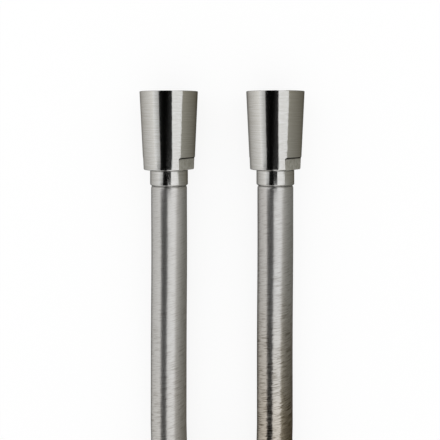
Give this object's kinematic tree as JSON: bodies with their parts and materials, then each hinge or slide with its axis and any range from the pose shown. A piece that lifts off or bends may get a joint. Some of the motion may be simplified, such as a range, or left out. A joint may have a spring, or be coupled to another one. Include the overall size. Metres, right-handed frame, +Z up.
{
  "type": "shower hose",
  "caption": "Smooth flexible shower hose with a captive swivelling cone nut at each end, its spare length folded into a tied hank.",
  "frame": {"origin": "on the floor, under the middle of the two end fittings taken together", "axes": "+Z up; +Y along the fittings towards the nuts' mouths; +X across, from the left fitting to the right one"},
  "size_m": [0.1188, 0.4267, 0.0296],
  "materials": {
    "nut": "nickel plated brass, brushed round",
    "ferrule": "stainless steel, fine turned",
    "nipple": "plain turned brass",
    "washer": "matt black moulded rubber",
    "hose": "vinyl with a metallised, brushed-steel look under a clear skin"
  },
  "bodies": {
    "hose": {"left_washer": "washer", "left_nipple": "nipple", "left_ferrule": "ferrule", "left_hose_end": "hose", "left_hose_leg": "hose", "hose_hank": "hose", "right_hose_leg": "hose", "right_hose_end": "hose", "right_ferrule": "ferrule", "right_nipple": "nipple", "right_washer": "washer"},
    "left_nut": {"left_nut": "nut"},
    "right_nut": {"right_nut": "nut"}
  },
  "joints": [
    {"name": "left_nut_turn", "type": "hinge", "parent": "hose", "child": "left_nut", "pos_m": [-0.02195, 0.00325, 0.01124], "axis": [0, 0.9989, 0.0468], "continuous": true},
    {"name": "right_nut_turn", "type": "hinge", "parent": "hose", "child": "right_nut", "pos_m": [0.02195, 0.00325, 0.01124], "axis": [0, 0.9989, 0.0468], "continuous": true}
  ]
}
